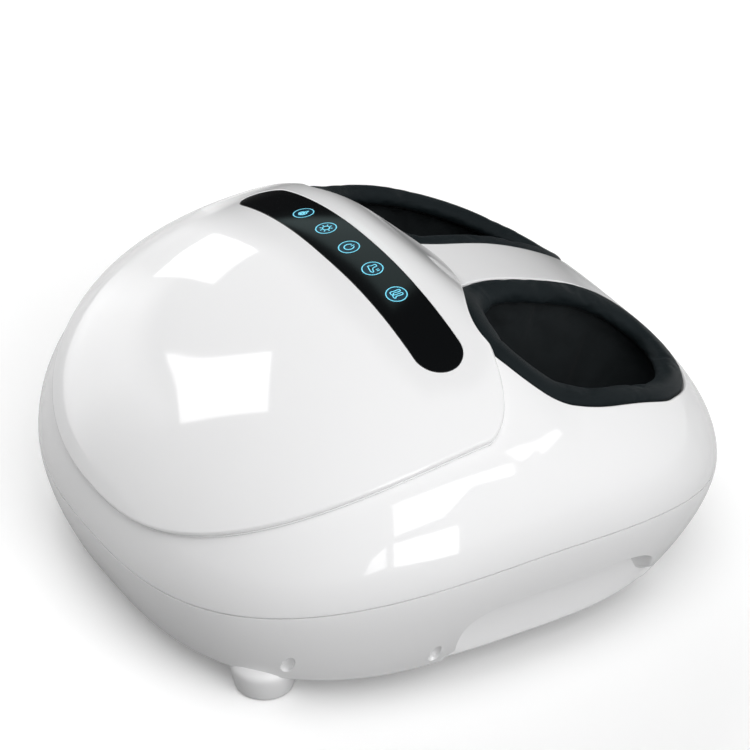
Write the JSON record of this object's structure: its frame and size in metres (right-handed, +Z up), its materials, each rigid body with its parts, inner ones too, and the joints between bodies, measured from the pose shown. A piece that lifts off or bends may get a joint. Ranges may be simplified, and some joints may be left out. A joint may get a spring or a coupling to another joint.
{
  "type": "foot massager",
  "caption": "Domed foot massager with two fabric-lined foot wells, a curved touch strip and gear-driven kneading heads under each sole.",
  "frame": {"origin": "centre of the footprint, on the surface it stands on", "axes": "+Z up, -Y towards the toe end with the dome, +Y towards the foot openings and the person, X across"},
  "size_m": [0.4, 0.4106, 0.2145],
  "materials": {
    "shell_plastic": "high-gloss white moulded shell",
    "tray_plastic": "semi-gloss white moulded tray, a little greyer than the shell",
    "window_gloss": "piano-black window",
    "board": "solder-masked laminate",
    "liner_fabric": "charcoal stretch fabric",
    "collar_fabric": "charcoal padded fabric with a slight sheen",
    "pad_rubber": "matt black rubber",
    "steel": "zinc-plated",
    "black_plastic": "fine-textured black",
    "nylon": "natural moulded nylon",
    "head_plastic": "satin grey",
    "bag_film": "welded grey film",
    "heater_film": "amber film heater"
  },
  "bodies": {
    "housing": {"lower_housing": "tray_plastic", "upper_housing": "shell_plastic", "dome_cover": "shell_plastic", "control_window": "window_gloss", "touch_board": "board", "foot_liner_left": "liner_fabric", "foot_liner_right": "liner_fabric", "liner_collar_left": "collar_fabric", "liner_collar_right": "collar_fabric", "foot_front_left": "shell_plastic", "foot_front_right": "shell_plastic", "foot_rear_left": "shell_plastic", "foot_rear_right": "shell_plastic", "rubber_pad_front_left": "pad_rubber", "rubber_pad_front_right": "pad_rubber", "rubber_pad_rear_left": "pad_rubber", "rubber_pad_rear_right": "pad_rubber", "foot_screw_front_left": "steel", "foot_screw_front_right": "steel", "foot_screw_rear_left": "steel", "foot_screw_rear_right": "steel", "housing_screw_front_left": "steel", "housing_screw_front_right": "steel", "housing_screw_middle": "steel", "housing_screw_rear": "steel", "mechanism_plate": "black_plastic", "head_axle_left_toe": "steel", "head_axle_left_arch": "steel", "head_axle_left_heel": "steel", "head_axle_right_toe": "steel", "head_axle_right_arch": "steel", "head_axle_right_heel": "steel", "drive_axle": "steel", "gear_motor": "steel", "air_pump": "black_plastic", "valve_block": "nylon", "main_board": "board", "power_inlet": "black_plastic", "side_airbag_left": "bag_film", "side_airbag_right": "bag_film", "instep_airbag_left": "bag_film", "instep_airbag_right": "bag_film", "heating_pad_left": "heater_film", "heating_pad_right": "heater_film"},
    "drive": {"drive_wheel": "nylon"},
    "pinion": {"motor_pinion": "nylon"},
    "left_toe_head": {"kneading_gear_left_toe": "nylon", "kneading_disc_left_toe": "head_plastic"},
    "left_arch_head": {"kneading_gear_left_arch": "nylon", "kneading_disc_left_arch": "head_plastic"},
    "left_heel_head": {"kneading_gear_left_heel": "nylon", "kneading_disc_left_heel": "head_plastic"},
    "right_toe_head": {"kneading_gear_right_toe": "nylon", "kneading_disc_right_toe": "head_plastic"},
    "right_arch_head": {"kneading_gear_right_arch": "nylon", "kneading_disc_right_arch": "head_plastic"},
    "right_heel_head": {"kneading_gear_right_heel": "nylon", "kneading_disc_right_heel": "head_plastic"}
  },
  "joints": [
    {"name": "drive_spin", "type": "hinge", "parent": "housing", "child": "drive", "pos_m": [0, 0.004, 0.029], "axis": [0, 0, 1], "continuous": true},
    {"name": "pinion_spin", "type": "hinge", "parent": "housing", "child": "pinion", "pos_m": [0, -0.076, 0.029], "axis": [0, 0, 1], "continuous": true},
    {"name": "left_toe_spin", "type": "hinge", "parent": "housing", "child": "left_toe_head", "pos_m": [-0.088, -0.06, 0.029], "axis": [0, 0, 1], "continuous": true},
    {"name": "left_arch_spin", "type": "hinge", "parent": "housing", "child": "left_arch_head", "pos_m": [-0.088, 0.004, 0.029], "axis": [0, 0, 1], "continuous": true},
    {"name": "left_heel_spin", "type": "hinge", "parent": "housing", "child": "left_heel_head", "pos_m": [-0.088, 0.068, 0.029], "axis": [0, 0, 1], "continuous": true},
    {"name": "right_toe_spin", "type": "hinge", "parent": "housing", "child": "right_toe_head", "pos_m": [0.088, -0.06, 0.029], "axis": [0, 0, 1], "continuous": true},
    {"name": "right_arch_spin", "type": "hinge", "parent": "housing", "child": "right_arch_head", "pos_m": [0.088, 0.004, 0.029], "axis": [0, 0, 1], "continuous": true},
    {"name": "right_heel_spin", "type": "hinge", "parent": "housing", "child": "right_heel_head", "pos_m": [0.088, 0.068, 0.029], "axis": [0, 0, 1], "continuous": true}
  ],
  "couplings": [
    {"joint": "pinion_spin", "follows": "drive_spin", "ratio": -2.3333},
    {"joint": "left_toe_spin", "follows": "drive_spin", "ratio": 1.75},
    {"joint": "left_arch_spin", "follows": "drive_spin", "ratio": -1.75},
    {"joint": "left_heel_spin", "follows": "drive_spin", "ratio": 1.75},
    {"joint": "right_toe_spin", "follows": "drive_spin", "ratio": 1.75},
    {"joint": "right_arch_spin", "follows": "drive_spin", "ratio": -1.75},
    {"joint": "right_heel_spin", "follows": "drive_spin", "ratio": 1.75}
  ]
}
